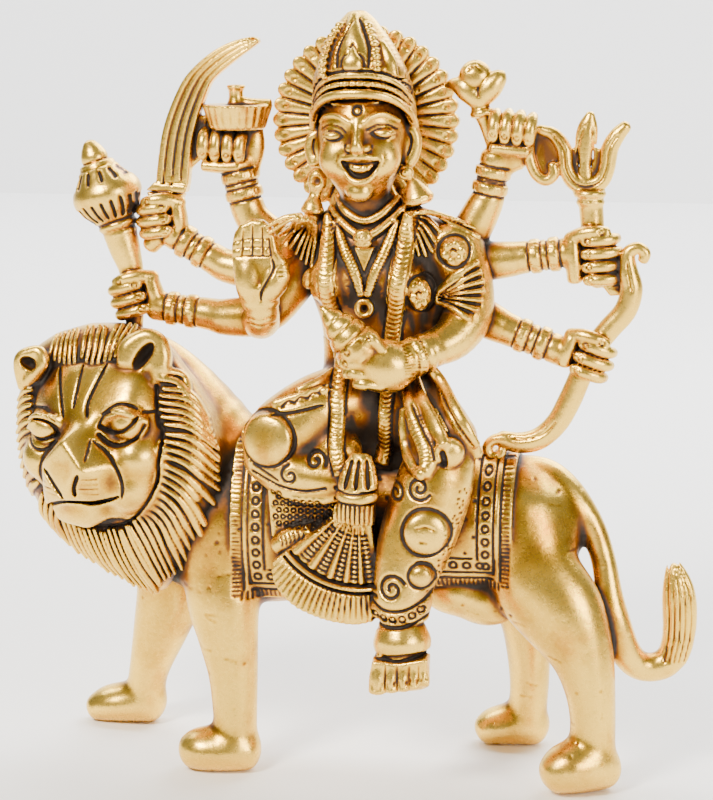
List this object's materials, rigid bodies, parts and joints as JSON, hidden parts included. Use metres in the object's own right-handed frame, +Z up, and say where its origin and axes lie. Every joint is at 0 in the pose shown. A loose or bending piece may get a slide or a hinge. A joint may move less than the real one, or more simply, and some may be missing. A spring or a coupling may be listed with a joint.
{
  "type": "durga figure",
  "caption": "Cast brass goddess with many arms, seated sideways on a standing lion, holding disc, sword, mace, lotus, trident, bow and conch.",
  "frame": {"origin": "centre of the bounding box in X and Y, at the soles of the paws", "axes": "+Z up; the goddess faces -Y; the lion walks towards -X and turns its face towards -Y"},
  "size_m": [0.17, 0.0572, 0.185],
  "materials": {
    "brass": "polished high spots, dark antique patina in the recesses"
  },
  "bodies": {
    "root": {"durga_on_lion": "brass"}
  },
  "joints": []
}
